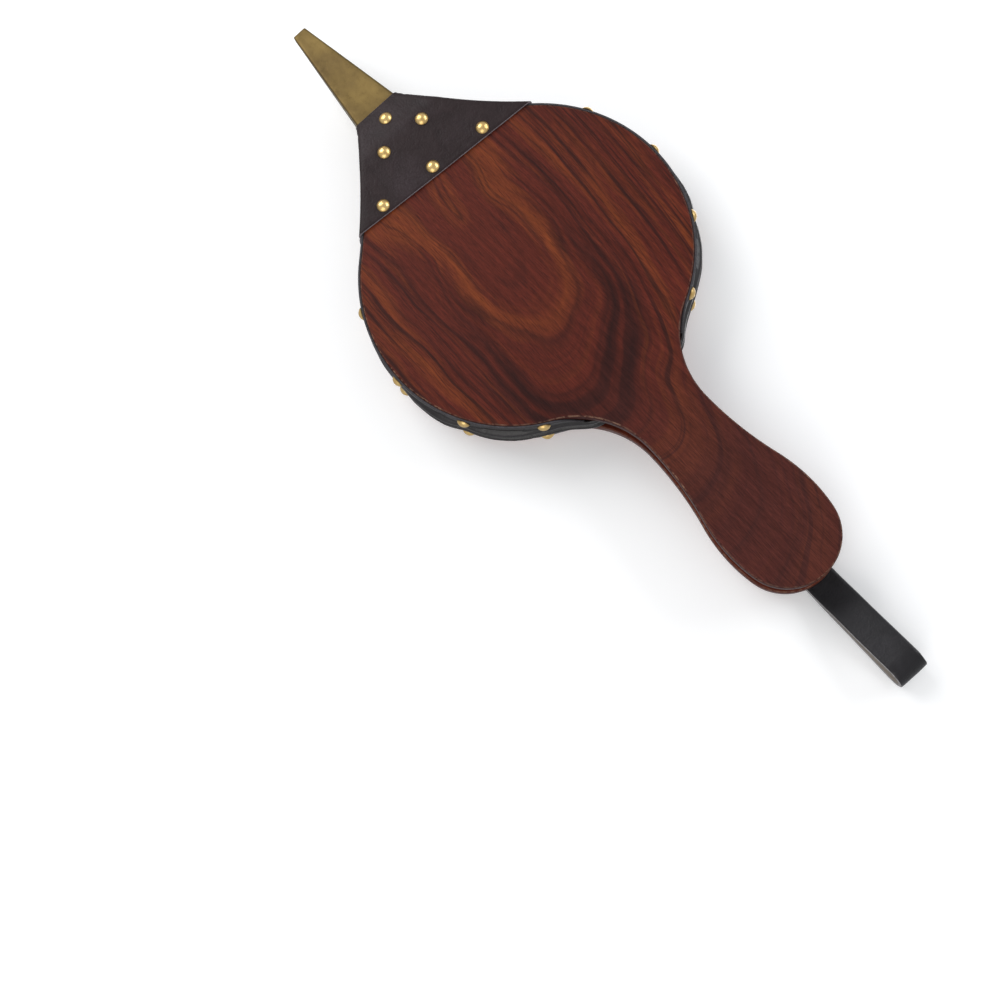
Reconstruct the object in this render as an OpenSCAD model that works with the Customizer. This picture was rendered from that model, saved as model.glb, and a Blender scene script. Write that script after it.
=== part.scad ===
// Hand bellows: two pear-shaped boards, a leather gusset between them, a folded
// metal nozzle, a hinged inlet valve and a hanging strap.
// Origin: centre of the intake hole, on the outer face of the back board.
// +X runs towards the nozzle, +Z from the back board towards the front board.

/* [Boards] */
// Widest width of the boards
body_w = 192; // [150:1:225]
// Distance of the widest place ahead of the intake hole
widest_x = 4.4; // [0:0.2:12]
// Radius of the shoulder ahead of the widest place
front_r = 92; // [75:1:107]
// Radius of the shoulder behind the widest place
rear_r = 87; // [75:1:107]
// Thickness of each board
board_t = 8; // [6:0.5:12]
// Height of the air space between the closed boards
gap_h = 13; // [10:0.5:20]
// Distance of the boards' nose ahead of the intake hole
nose_x = 132; // [110:1:160]
// Width of the boards at the nose
nose_w = 31; // [28:0.5:38]
// Radius of the hollow flare between nose and shoulder
flare_r = 340; // [200:5:500]
// Height that each outer face drops towards the nose
nose_drop = 3; // [2:0.5:4]
// Length of that drop
nose_drop_l = 16; // [12:1:19]
// Length of the head block, from the nose to the saw cut that frees the front board
block_l = 35; // [30:0.5:42]
// Width of the saw cut
hinge_cut = 0.6; // [0.5:0.1:1.5]

/* [Handle] */
// Distance of the narrowest place of the neck behind the intake hole
neck_x = 120; // [110:1:144]
// Width of the neck
neck_w = 42; // [34:0.2:48]
// Distance of the widest place of the grip behind the intake hole
bulb_x = 193; // [175:1:205]
// Width of the grip
bulb_w = 60; // [50:0.5:68]
// Radius of the long sides of the grip
bulb_side_r = 100; // [90:1:120]
// Distance of the grip's end behind the intake hole
handle_end = 233.5; // [225:0.5:285]
// How much smaller the end's radius is than half the grip's width
end_ease = 1.1; // [0.5:0.1:5]

/* [Nozzle] */
// Length of the nozzle ahead of the boards' nose
nozzle_l = 79; // [60:1:110]
// Width at the tip
tip_w = 9.2; // [8:0.1:14]
// Height at the tip
tip_h = 6.4; // [6:0.1:10]
// How much narrower the rear end is than the boards' nose
root_inset_w = 0.8; // [0.5:0.1:3]
// How much lower the rear end is than the boards' nose
root_inset_h = 2.6; // [2:0.1:5]
// Thickness of the folded sheet
sheet_t = 0.8; // [0.5:0.1:1.2]
// Distance of the fold seam from the middle
seam_y = 1.2; // [0:0.1:2]
// Length of the wooden spigot inside the nozzle
spigot_l = 18; // [10:1:26]
// Radius of the air passage through the head block
air_r = 5; // [3:0.1:5.5]

/* [Leather] */
// Thickness of the gusset and collar leather
leather_t = 1.2; // [0.8:0.1:1.2]
// Air left between a leather piece and what it lies on
leather_gap = 0.15; // [0.1:0.01:0.2]
// Length of the collar on the front, from the nose to its rear edge
collar_front_l = 53; // [50:0.5:56]
// Angle of that rear edge
collar_skew = 4; // [0:0.5:6]
// Length of the collar on the back, from the nose to its rear edge
collar_back_l = 28; // [24:0.5:31]
// Length of collar that runs past the boards' nose
collar_lip = 5; // [3:0.5:8]
// Height of the collar's skirt over the front board's edge
skirt_h = 6; // [4:0.5:7]
// Distance of the gusset's rear web behind the intake hole
gusset_end_x = 88; // [84:1:92]
// Height of bare board left above and below the gusset
bare_edge = 0.8; // [0.5:0.1:1.5]

/* [Studs] */
// Radius of a stud's domed head
stud_r = 3.9; // [2.5:0.1:3.9]
// Height of a stud's domed head
stud_h = 2.4; // [1.5:0.1:2.4]
// Radius of a stud's shank
shank_r = 0.9; // [0.6:0.05:1.1]
// Length of a stud's shank
shank_l = 8; // [6:0.5:9]
// Number of studs along each side of a board
edge_studs = 5; // [4:1:6]
// Distance of the last edge stud behind the intake hole
last_stud_x = 70; // [64:1:74]
// Distance of the first edge stud ahead of the collar's rear edge
first_stud_lead = 3; // [0:0.5:6]
// Distance of the collar's row of three ahead of its rear edge
stud_row_inset = 5.5; // [5:0.5:8]
// Spacing of the collar's row of three
stud_row_pitch = 36; // [28:1:38]
// Distance of the collar's pair behind the boards' nose
stud_pair_inset = 21; // [20:0.5:24]
// Spacing of the collar's pair
stud_pair_pitch = 29; // [24:1:30]
// Distance of the collar's front stud behind the boards' nose
stud_top_inset = 5; // [5:0.5:8]

/* [Valve] */
// Radius of the intake hole
intake_r = 13.5; // [10:0.5:15]
// Width of leather that laps past the intake hole
flap_lap = 5.5; // [4:0.5:8]
// Length of the flap's root, ahead of the lap
flap_root = 8; // [7:0.5:12]
// Distance of the valve tacks from the flap's sides
tack_inset = 7; // [5:0.5:9]
// Thickness of the valve flap
flap_t = 1.4; // [1:0.1:2]
// Radius of a valve tack's head
tack_r = 2.2; // [1.5:0.1:2.2]

/* [Strap] */
// Width of the strap
strap_w = 18; // [14:0.5:24]
// Thickness of the strap leather
strap_t = 2.1; // [1.5:0.1:2.5]
// Length of the loop behind the handle's end
strap_reach = 70; // [50:1:100]
// Outer radius of the loop's far bend
bend_r = 10.5; // [9:0.5:14]
// Length of strap ahead of its stud
strap_tab = 10; // [8:0.5:14]
// Radius of the strap stud's head
strap_stud_r = 5; // [4:0.1:6]
// Height of the strap stud's head
strap_stud_h = 3; // [2:0.1:4]

/* [Hidden] */
$fn = 96;
WIDE = 2*body_w;
ARC_STEP = 2.5;
// Clearances: a driven shank in wood, a shank in leather, a piece lying on leather,
// a wooden plug in the nozzle
DRIVEN = 0.02;
SHANK_GAP = 0.3;
SEAT = 0.1;
PLUG_GAP = 0.15;

// Heights in the closed stack, and stations along it
STACK = 2*board_t + gap_h;
FRONT_Z = board_t + gap_h;
MID_Z = STACK/2;
EDGE_ROW_BACK = board_t/2;
EDGE_ROW_FRONT = FRONT_Z + board_t/2;
HINGE_X = nose_x - block_l;
DROP_X = nose_x - nose_drop_l;
DROP_SLOPE = nose_drop/nose_drop_l;
TIP_X = nose_x + nozzle_l;
NOZZLE_X = nose_x + 1;
COLLAR_FRONT_X = nose_x - collar_front_l;
COLLAR_BACK_X = nose_x - collar_back_l;
GUSSET_FRONT_X = COLLAR_BACK_X + 6;

// Leather layers, measured outwards from the wood
ON_WOOD = leather_gap + leather_t;
COLLAR_IN = ON_WOOD + leather_gap;
COLLAR_OUT = COLLAR_IN + leather_t;

// Nozzle: outer size at its rear end, slopes, and inner size at its rear end
ROOT_W = nose_w - root_inset_w;
ROOT_H = STACK - 2*nose_drop - root_inset_h;
W_SLOPE = (ROOT_W - tip_w)/(TIP_X - NOZZLE_X);
H_SLOPE = (ROOT_H - tip_h)/(TIP_X - NOZZLE_X);
INNER_W = ROOT_W - 2*sheet_t;
INNER_H = ROOT_H - 2*sheet_t;
PIN_X = NOZZLE_X + collar_lip/2 - 0.5;
PIN_R = 0.7;
PIN_L = 5;

// Nails through nose board, head block and back board
NAIL_R = 1;
NAIL_HEAD_R = 2.4;
NAIL_HEAD_H = 1;
NAIL_TIP_Z = 3;
NAIL_X = HINGE_X + 9;
NAIL_Y = 19;
EDGE_STUD_INSET = 5.5;

// Valve flap and its tacks
FLAP_R = intake_r + flap_lap;
FLAP_Z = board_t + leather_gap;
FLAP_HINGE_X = FLAP_R + flap_root;
TACK_X = FLAP_HINGE_X - 3.5;
TACK_Y = FLAP_R - tack_inset;
TACK_SHANK_R = 0.8;
TACK_HOLE_R = TACK_SHANK_R + 0.6;
TACK_HEAD_H = 0.8;
TACK_LIFT = 1.2;
TACK_DEPTH = 5;
TACK_HEAD_Z = FLAP_Z + flap_t + TACK_LIFT;

// Strap: below the back board's face at z = 0, doubled as far as JAW_X
STRAP_TOP = -0.2;
STRAP_FLOOR = STRAP_TOP - 2*strap_t;
STRAP_SHANK = 6;
JAW_X = -handle_end - 4;
BEND_X = -handle_end - strap_reach + bend_r;
BEND_Z = STRAP_FLOOR - SEAT - strap_stud_h + bend_r;

// ---- Outline: arcs that meet tangentially, each point with its outward normal ----
function heading(v) = atan2(v.y, v.x);
function arc(c, r, a0, a1, bulge) =
    let (n = max(3, ceil(r*abs(a1 - a0)*PI/180/ARC_STEP)))
    [for (i = [1:n]) let (a = a0 + (a1 - a0)*i/n)
        [c.x + bulge*r*cos(a), c.y + bulge*r*sin(a), a]];
// Radius of the circle that is tangent to the level line at p and touches circle c, r
function level_fillet(p, c, r) =
    let (q = p - c)
    (q*q - r*r)/(2*(r - q.y));

NOSE = [nose_x, nose_w/2];
NECK = [-neck_x, neck_w/2];
FRONT_C = [widest_x, body_w/2 - front_r];
REAR_C = [widest_x, body_w/2 - rear_r];
BULB_C = [-bulb_x, bulb_w/2 - bulb_side_r];

TO_NOSE = NOSE - FRONT_C;
FLARE_SUM = flare_r + front_r;
FLARE_TURN = acos((TO_NOSE*TO_NOSE + FLARE_SUM*FLARE_SUM - flare_r*flare_r)
                  /(2*norm(TO_NOSE)*FLARE_SUM));
FLARE_A = heading(TO_NOSE) + FLARE_TURN;
FLARE_C = FRONT_C + FLARE_SUM*[cos(FLARE_A), sin(FLARE_A)];
NOSE_A = heading(FLARE_C - NOSE);

NECK_R = level_fillet(NECK, REAR_C, rear_r);
NECK_C = NECK + [0, NECK_R];
NECK_A = heading(NECK_C - REAR_C);
WAIST_R = level_fillet(NECK, BULB_C, bulb_side_r);
WAIST_C = NECK + [0, WAIST_R];
WAIST_A = heading(WAIST_C - BULB_C);

// The grip's end is a round end, joined to the grip's widest place by one more arc
END_R = bulb_w/2 - end_ease;
END_C = [END_R - handle_end, 0];
END_RUN = handle_end - bulb_x - END_R;
CHEEK_R = (END_RUN*END_RUN + pow(bulb_w/2, 2) - END_R*END_R)/(2*end_ease);
CHEEK_C = [-bulb_x, bulb_w/2 - CHEEK_R];
END_A = heading(END_C - CHEEK_C);

HALF = concat(
    [[NOSE.x, NOSE.y, NOSE_A]],
    arc(FLARE_C, flare_r, NOSE_A, FLARE_A, -1),
    arc(FRONT_C, front_r, FLARE_A, 90, 1),
    arc(REAR_C, rear_r, 90, NECK_A, 1),
    arc(NECK_C, NECK_R, NECK_A, 90, -1),
    arc(WAIST_C, WAIST_R, 90, WAIST_A, -1),
    arc(BULB_C, bulb_side_r, WAIST_A, 90, 1),
    arc(CHEEK_C, CHEEK_R, 90, END_A, 1),
    arc(END_C, END_R, END_A, 180, 1));
LAST = len(HALF) - 1;

function half(d) = [for (p = HALF) [p[0] + d*cos(p[2]), p[1] + d*sin(p[2])]];
function outline(d) =
    let (h = half(d))
    concat(h, [for (i = [LAST - 1:-1:0]) [h[i].x, -h[i].y]]);

// Running length along the half outline, and the place and normal at a length
RUN = [for (i = 0, s = 0; i <= LAST;
            i = i + 1,
            s = s + (i <= LAST ? norm([HALF[i][0] - HALF[i-1][0], HALF[i][1] - HALF[i-1][1]]) : 0))
       s];
X_TO_RUN = [for (i = [0:LAST]) [-HALF[i][0], RUN[i]]];
RUN_TO = [for (k = [0:2]) [for (i = [0:LAST]) [RUN[i], HALF[i][k]]]];
function run_at(x) = lookup(-x, X_TO_RUN);
function edge_at(s) = [for (k = [0:2]) lookup(s, RUN_TO[k])];

FIRST_RUN = run_at(COLLAR_FRONT_X + first_stud_lead);
LAST_RUN = run_at(-last_stud_x);
STUD_STEP = (LAST_RUN - FIRST_RUN)/(edge_studs - 1);
FRONT_ROW_RUNS = [for (i = [1:edge_studs - 1]) FIRST_RUN + i*STUD_STEP];
BACK_ROW_RUNS = concat([run_at(COLLAR_BACK_X - EDGE_STUD_INSET), FIRST_RUN], FRONT_ROW_RUNS);
COLLAR_SIDE_RUNS = [run_at((COLLAR_BACK_X + nose_x)/2)];

// ---- Shared shapes ----
// Block between two X stations, cut to the boards' outline grown by d
module plan(d, x0, x1, z0, z1) {
    translate([0, 0, z0])
    linear_extrude(z1 - z0)
    intersection() {
        polygon(outline(d));
        translate([x0, -WIDE/2]) square([x1 - x0, WIDE]);
    }
}

// Side profile of the closed stack grown by d, with both faces dropping to the nose
module stack_profile(d) {
    end_x = nose_x + 3*collar_lip;
    end_drop = (end_x - DROP_X)*DROP_SLOPE;
    rotate([90, 0, 0])
    linear_extrude(WIDE, center = true)
    polygon([[-2*handle_end, -d], [DROP_X, -d], [end_x, end_drop - d],
             [end_x, STACK + d - end_drop], [DROP_X, STACK + d], [-2*handle_end, STACK + d]]);
}

// Bar that tapers from w0 by h0 at x0 to w1 by h1 at x1, centred on the air passage
module taper(x0, x1, w0, w1, h0, h1) {
    translate([0, 0, MID_Z])
    intersection() {
        linear_extrude(STACK, center = true)
        polygon([[x0, -w0/2], [x1, -w1/2], [x1, w1/2], [x0, w0/2]]);
        rotate([90, 0, 0])
        linear_extrude(body_w, center = true)
        polygon([[x0, -h0/2], [x1, -h1/2], [x1, h1/2], [x0, h0/2]]);
    }
}

// Stud along +Z, its head's flat side at z = 0 and its shank below
module stud(head_r, head_h, r, l) {
    ball_r = (head_r*head_r + head_h*head_h)/(2*head_h);
    intersection() {
        translate([0, 0, head_h - ball_r]) sphere(ball_r);
        cylinder(h = head_h + 1, r = head_r + 1);
    }
    translate([0, 0, -l]) cylinder(h = l + 0.5, r = r);
}

// Puts children on the boards' edge: +Z outwards, d clear of the wood
module on_edges(runs, z, d) {
    for (s = runs, side = [-1, 1]) {
        e = edge_at(s);
        mirror([0, side < 0 ? 1 : 0, 0])
        translate([e[0], e[1], z])
        rotate([0, 0, e[2]])
        translate([d, 0, 0])
        rotate([0, 90, 0])
        children();
    }
}

// Round holes for the shanks of a row of edge studs
module edge_holes(runs, z, r) {
    on_edges(runs, z, -shank_l - 2) cylinder(h = shank_l + 8, r = r);
}

// Puts children on the three studs of the collar's row, at the front board's face
module on_stud_row() {
    for (i = [-1, 0, 1])
        translate([COLLAR_FRONT_X + stud_row_inset + i*stud_row_pitch*tan(collar_skew),
                   i*stud_row_pitch, STACK])
        children();
}

// Puts children on the three collar studs of the nose: a pair, and one on the slope
module on_nose_studs() {
    for (i = [-1, 1])
        translate([nose_x - stud_pair_inset, i*stud_pair_pitch/2, STACK])
        children();
    top_x = nose_x - stud_top_inset;
    translate([top_x, 0, STACK - (top_x - DROP_X)*DROP_SLOPE])
    rotate([0, atan(DROP_SLOPE), 0])
    children();
}

module shank_hole(r) {
    translate([0, 0, -shank_l - 1]) cylinder(h = shank_l + 6, r = r);
}

module on_nails() {
    for (i = [-1, 1]) translate([NAIL_X, i*NAIL_Y, STACK]) children();
}

module nail(gap) {
    translate([0, 0, NAIL_TIP_Z - STACK]) cylinder(h = STACK - NAIL_TIP_Z - 0.5, r = NAIL_R + gap);
    translate([0, 0, -NAIL_HEAD_H - gap])
    cylinder(h = NAIL_HEAD_H + gap, r = NAIL_HEAD_R + gap);
}

// ---- Wood ----
module back_board() {
    color([0.36, 0.17, 0.12])
    difference() {
        intersection() {
            plan(0, -2*handle_end, nose_x, 0, board_t);
            stack_profile(0);
        }
        translate([0, 0, -1]) cylinder(h = board_t + 2, r = intake_r);
        edge_holes(concat(BACK_ROW_RUNS, COLLAR_SIDE_RUNS), EDGE_ROW_BACK, shank_r + DRIVEN);
        translate([-bulb_x, 0, -1]) cylinder(h = STRAP_SHANK + 1, r = shank_r + DRIVEN);
        on_nails() nail(DRIVEN);
        for (i = [-1, 1])
            translate([TACK_X, i*TACK_Y, board_t - TACK_DEPTH])
            cylinder(h = TACK_DEPTH + 1, r = TACK_SHANK_R + DRIVEN);
    }
}

module front_board() {
    color([0.38, 0.18, 0.13])
    difference() {
        plan(0, -2*handle_end, HINGE_X - hinge_cut/2, FRONT_Z, STACK);
        edge_holes(FRONT_ROW_RUNS, EDGE_ROW_FRONT, shank_r + DRIVEN);
        on_stud_row() shank_hole(shank_r + DRIVEN);
    }
}

module nose_board() {
    color([0.38, 0.18, 0.13])
    difference() {
        intersection() {
            plan(0, HINGE_X + hinge_cut/2, nose_x, FRONT_Z, STACK);
            stack_profile(0);
        }
        on_nose_studs() shank_hole(shank_r + DRIVEN);
        on_nails() nail(DRIVEN);
    }
}

module head_block() {
    spigot_w = INNER_W - 2*PLUG_GAP;
    spigot_h = INNER_H - 2*PLUG_GAP;
    color([0.62, 0.45, 0.28])
    difference() {
        union() {
            plan(0, HINGE_X + hinge_cut/2, nose_x, board_t, FRONT_Z);
            taper(nose_x, nose_x + spigot_l, spigot_w, spigot_w - spigot_l*W_SLOPE,
                  spigot_h, spigot_h - spigot_l*H_SLOPE);
        }
        translate([0, 0, MID_Z]) rotate([0, 90, 0]) cylinder(h = TIP_X, r = air_r);
        on_nails() nail(DRIVEN);
        on_nose_studs() shank_hole(shank_r + DRIVEN);
        on_pins() cylinder(h = 2*ROOT_W, r = PIN_R + DRIVEN, center = true);
    }
}

module block_nails() {
    color([0.45, 0.44, 0.42])
    on_nails() nail(0);
}

// ---- Nozzle ----
module on_pins() {
    translate([PIN_X, 0, MID_Z]) rotate([90, 0, 0]) children();
}

module nozzle() {
    groove = sheet_t/2;
    past = 1;
    color([0.60, 0.49, 0.27])
    difference() {
        taper(NOZZLE_X, TIP_X, ROOT_W, tip_w, ROOT_H, tip_h);
        taper(NOZZLE_X - past, TIP_X + past,
              INNER_W + past*W_SLOPE, tip_w - 2*sheet_t - past*W_SLOPE,
              INNER_H + past*H_SLOPE, tip_h - 2*sheet_t - past*H_SLOPE);
        // Seam where the two edges of the sheet meet on the back
        difference() {
            translate([NOZZLE_X - past, seam_y - 0.2, 0]) cube([TIP_X - NOZZLE_X + 2*past, 0.4, MID_Z]);
            taper(NOZZLE_X - 2*past, TIP_X + 2*past, ROOT_W, ROOT_W,
                  ROOT_H - 2*groove + 2*past*H_SLOPE, tip_h - 2*groove - 2*past*H_SLOPE);
        }
        on_pins() cylinder(h = 2*ROOT_W, r = PIN_R + DRIVEN, center = true);
    }
}

module nozzle_pins() {
    outer_y = ROOT_W/2 - (PIN_X + PIN_R - NOZZLE_X)*W_SLOPE/2;
    color([0.70, 0.58, 0.30])
    for (i = [-1, 1])
        on_pins() translate([0, 0, i*(outer_y - PIN_L/2)]) cylinder(h = PIN_L, r = PIN_R, center = true);
}

// ---- Leather ----
// Sleeve body between the boards' sides, reaching past the nose by the lip
module sleeve(d, past) {
    intersection() {
        union() {
            plan(d, HINGE_X - WIDE/4, nose_x, -WIDE, WIDE);
            translate([nose_x - 1, -nose_w/2 - d, -WIDE])
            cube([collar_lip + past + 1, nose_w + 2*d, 2*WIDE]);
        }
        stack_profile(d - COLLAR_IN + leather_gap);
    }
}

// Everything behind the collar's skewed rear edge on the front board
module behind_collar() {
    translate([COLLAR_FRONT_X, 0, -WIDE]) rotate([0, 0, -collar_skew])
    translate([-WIDE, -WIDE, 0]) cube([WIDE, 2*WIDE, 2*WIDE]);
}

module collar() {
    color([0.20, 0.15, 0.15])
    difference() {
        sleeve(COLLAR_OUT, 0);
        sleeve(COLLAR_IN, 1);
        behind_collar();
        // The skirt over the front board's edge stops below that board's face
        translate([0, -WIDE/2, -WIDE])
        cube([COLLAR_BACK_X, WIDE, WIDE + STACK - skirt_h]);
        on_stud_row() shank_hole(shank_r + SHANK_GAP);
        on_nose_studs() shank_hole(shank_r + SHANK_GAP);
        edge_holes(COLLAR_SIDE_RUNS, EDGE_ROW_BACK, shank_r + SHANK_GAP);
    }
}

module gusset() {
    web_clear = 0.3;
    web_w = 2*lookup(gusset_end_x, [for (p = half(ON_WOOD)) [-p.x, p.y]]);
    color([0.13, 0.11, 0.12])
    difference() {
        union() {
            difference() {
                plan(ON_WOOD, -gusset_end_x - leather_t, GUSSET_FRONT_X, bare_edge, STACK - bare_edge);
                plan(leather_gap, -WIDE, WIDE, -1, STACK + 1);
            }
            translate([-gusset_end_x - leather_t, -web_w/2, board_t + web_clear])
            cube([leather_t, web_w, gap_h - 2*web_clear]);
        }
        edge_holes(BACK_ROW_RUNS, EDGE_ROW_BACK, shank_r + SHANK_GAP);
        edge_holes(FRONT_ROW_RUNS, EDGE_ROW_FRONT, shank_r + SHANK_GAP);
    }
}

// ---- Valve ----
module valve_flap() {
    color([0.35, 0.25, 0.18])
    translate([0, 0, FLAP_Z])
    difference() {
        linear_extrude(flap_t)
        union() {
            circle(FLAP_R);
            translate([0, -FLAP_R]) square([FLAP_HINGE_X, 2*FLAP_R]);
        }
        for (i = [-1, 1])
            translate([TACK_X, i*TACK_Y, -1]) cylinder(h = flap_t + 2, r = TACK_HOLE_R);
    }
}

module valve_tacks() {
    color([0.70, 0.58, 0.30])
    for (i = [-1, 1])
        translate([TACK_X, i*TACK_Y, TACK_HEAD_Z])
        stud(tack_r, TACK_HEAD_H, TACK_SHANK_R, TACK_HEAD_Z - board_t + TACK_DEPTH);
}

// ---- Studs ----
module collar_block_studs() {
    color([0.78, 0.62, 0.30])
    on_nose_studs() translate([0, 0, ON_WOOD + SEAT]) stud(stud_r, stud_h, shank_r, shank_l);
}

module collar_board_studs() {
    color([0.78, 0.62, 0.30])
    on_stud_row() translate([0, 0, ON_WOOD + SEAT]) stud(stud_r, stud_h, shank_r, shank_l);
}

module collar_side_studs() {
    color([0.78, 0.62, 0.30])
    on_edges(COLLAR_SIDE_RUNS, EDGE_ROW_BACK, COLLAR_OUT + SEAT)
    stud(stud_r, stud_h, shank_r, shank_l);
}

module back_edge_studs() {
    color([0.78, 0.62, 0.30])
    on_edges(BACK_ROW_RUNS, EDGE_ROW_BACK, ON_WOOD + SEAT)
    stud(stud_r, stud_h, shank_r, shank_l);
}

module front_edge_studs() {
    color([0.78, 0.62, 0.30])
    on_edges(FRONT_ROW_RUNS, EDGE_ROW_FRONT, ON_WOOD + SEAT)
    stud(stud_r, stud_h, shank_r, shank_l);
}

// ---- Strap ----
// Arc of the far bend, from the tangent point seen from top to the one seen from low
function bend_arc(top, low, r) =
    let (c = [BEND_X, BEND_Z])
    let (a0 = heading(c - top) - 90 + asin(r/norm(c - top)))
    let (a1 = heading(c - low) + 90 - asin(r/norm(c - low)))
    let (from = a0 < 0 ? a0 + 360 : a0)
    let (to = a1 < from ? a1 + 360 : a1)
    [for (i = [0:32]) c + r*[cos(from + (to - from)*i/32), sin(from + (to - from)*i/32)]];

module strap() {
    tab_x = -bulb_x + strap_tab;
    top = [JAW_X, STRAP_TOP];
    low = [JAW_X, STRAP_FLOOR];
    jaw = [JAW_X - 1, (STRAP_TOP + STRAP_FLOOR)/2];
    color([0.12, 0.11, 0.12])
    difference() {
        rotate([90, 0, 0])
        linear_extrude(strap_w, center = true)
        difference() {
            polygon(concat([[tab_x, STRAP_FLOOR], [tab_x, STRAP_TOP], top],
                           bend_arc(top, low, bend_r), [low]));
            polygon(concat([jaw], bend_arc(jaw, jaw, bend_r - strap_t)));
        }
        translate([-bulb_x, 0, STRAP_FLOOR - 1]) cylinder(h = 2*strap_t + 3, r = shank_r + SHANK_GAP);
    }
}

module strap_stud() {
    color([0.78, 0.62, 0.30])
    translate([-bulb_x, 0, STRAP_FLOOR - SEAT]) rotate([180, 0, 0])
    stud(strap_stud_r, strap_stud_h, shank_r, STRAP_SHANK + 2*strap_t);
}

back_board();
front_board();
nose_board();
head_block();
block_nails();
nozzle();
nozzle_pins();
collar();
gusset();
valve_flap();
valve_tacks();
collar_block_studs();
collar_board_studs();
collar_side_studs();
back_edge_studs();
front_edge_studs();
strap();
strap_stud();
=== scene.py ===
import random
from contextlib import contextmanager
from math import acos, asin, atan, atan2, ceil, copysign, cos, dist, exp, pi, radians, sin, sqrt, tan, tau

import bmesh
import bpy
import numpy as np
from mathutils import Matrix, Vector, noise


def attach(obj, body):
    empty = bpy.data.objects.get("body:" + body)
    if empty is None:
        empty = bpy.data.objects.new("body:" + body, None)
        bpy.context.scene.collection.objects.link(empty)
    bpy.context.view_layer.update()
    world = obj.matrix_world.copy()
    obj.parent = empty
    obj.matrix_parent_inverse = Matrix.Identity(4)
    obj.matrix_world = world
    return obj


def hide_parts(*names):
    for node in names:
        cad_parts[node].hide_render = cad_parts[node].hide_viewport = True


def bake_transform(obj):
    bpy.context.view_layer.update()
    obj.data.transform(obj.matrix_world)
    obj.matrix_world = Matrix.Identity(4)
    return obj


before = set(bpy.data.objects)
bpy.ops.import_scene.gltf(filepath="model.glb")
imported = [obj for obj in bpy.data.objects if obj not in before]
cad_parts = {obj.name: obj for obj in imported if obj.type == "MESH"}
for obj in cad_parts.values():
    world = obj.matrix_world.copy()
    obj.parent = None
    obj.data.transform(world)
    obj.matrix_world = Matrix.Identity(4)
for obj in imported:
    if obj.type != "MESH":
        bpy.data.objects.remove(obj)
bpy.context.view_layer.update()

# Everything below is worked out in millimetres and scaled when a mesh is made.
MM = 0.001

# ---- Sizes shared with the CAD source ----
BODY_W, WIDEST_X, FRONT_R, REAR_R = 192.0, 4.4, 92.0, 87.0
BOARD_T, GAP_H = 8.0, 13.0
NOSE_X, NOSE_W, FLARE_R = 132.0, 31.0, 340.0
NOSE_DROP, NOSE_DROP_L = 3.0, 16.0
NECK_X, NECK_W = 120.0, 42.0
BULB_X, BULB_W, BULB_SIDE_R = 193.0, 60.0, 100.0
HANDLE_END, END_EASE = 233.5, 1.1
STACK = 2*BOARD_T + GAP_H
FRONT_Z = BOARD_T + GAP_H
MID_Z = STACK/2
CUT_X = 96.7
DROP_X = NOSE_X - NOSE_DROP_L
DROP_SLOPE = NOSE_DROP/NOSE_DROP_L
INTAKE_R = 13.5

NOZZLE_X, TIP_X = 133.0, 211.0
ROOT_W, ROOT_H, TIP_W, TIP_H = 30.2, 20.4, 9.2, 6.4
SHEET_T, SEAM_Y = 0.8, 1.2

COLLAR_FRONT_X, COLLAR_BACK_X, COLLAR_SKEW = 79.0, 104.0, tan(radians(4))
COLLAR_LIP = 5.0
LEATHER_T = 1.2
STUD_R, STUD_H, SHANK_R, SHANK_L = 3.9, 2.4, 0.9, 8.0
STUD_SEAT = 1.45
COLLAR_SEAT = 2.8
STRAP_W, STRAP_T = 18.0, 2.1


# ---- Outline of the boards: tangent arcs, each point with the angle of its normal ----
def heading(v):
    return atan2(v[1], v[0])


def arc(centre, radius, start, end, bulge, step=1.3):
    count = max(3, ceil(radius*abs(end - start)/step))
    angles = [start + (end - start)*i/count for i in range(1, count + 1)]
    return [(centre[0] + bulge*radius*cos(a), centre[1] + bulge*radius*sin(a), a)
            for a in angles]


def level_fillet(point, centre, radius):
    """Radius of the circle tangent to the level line at point that touches the other circle."""
    q = point - centre
    return (q.dot(q) - radius**2)/(2*(radius - q.y))


def half_outline():
    nose, neck = Vector((NOSE_X, NOSE_W/2)), Vector((-NECK_X, NECK_W/2))
    body = Vector((WIDEST_X, BODY_W/2 - FRONT_R))
    rear = Vector((WIDEST_X, BODY_W/2 - REAR_R))
    bulb = Vector((-BULB_X, BULB_W/2 - BULB_SIDE_R))
    level = pi/2
    to_nose, reach = nose - body, FLARE_R + FRONT_R
    turn = acos((to_nose.dot(to_nose) + reach**2 - FLARE_R**2)/(2*to_nose.length*reach))
    flare_a = heading(to_nose) + turn
    flare = body + reach*Vector((cos(flare_a), sin(flare_a)))
    nose_a = heading(flare - nose)
    neck_r = level_fillet(neck, rear, REAR_R)
    neck_c = neck + Vector((0, neck_r))
    neck_a = heading(neck_c - rear)
    waist_r = level_fillet(neck, bulb, BULB_SIDE_R)
    waist_c = neck + Vector((0, waist_r))
    waist_a = heading(waist_c - bulb)
    end_r = BULB_W/2 - END_EASE
    end_c = Vector((end_r - HANDLE_END, 0))
    run = HANDLE_END - BULB_X - end_r
    cheek_r = (run**2 + (BULB_W/2)**2 - end_r**2)/(2*END_EASE)
    cheek = Vector((-BULB_X, BULB_W/2 - cheek_r))
    end_a = heading(end_c - cheek)
    return ([(nose.x, nose.y, nose_a)]
            + arc(flare, FLARE_R, nose_a, flare_a, -1)
            + arc(body, FRONT_R, flare_a, level, 1)
            + arc(rear, REAR_R, level, neck_a, 1)
            + arc(neck_c, neck_r, neck_a, level, -1)
            + arc(waist_c, waist_r, level, waist_a, -1)
            + arc(bulb, BULB_SIDE_R, waist_a, level, 1)
            + arc(cheek, cheek_r, level, end_a, 1)
            + arc(end_c, end_r, end_a, pi, 1))


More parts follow.
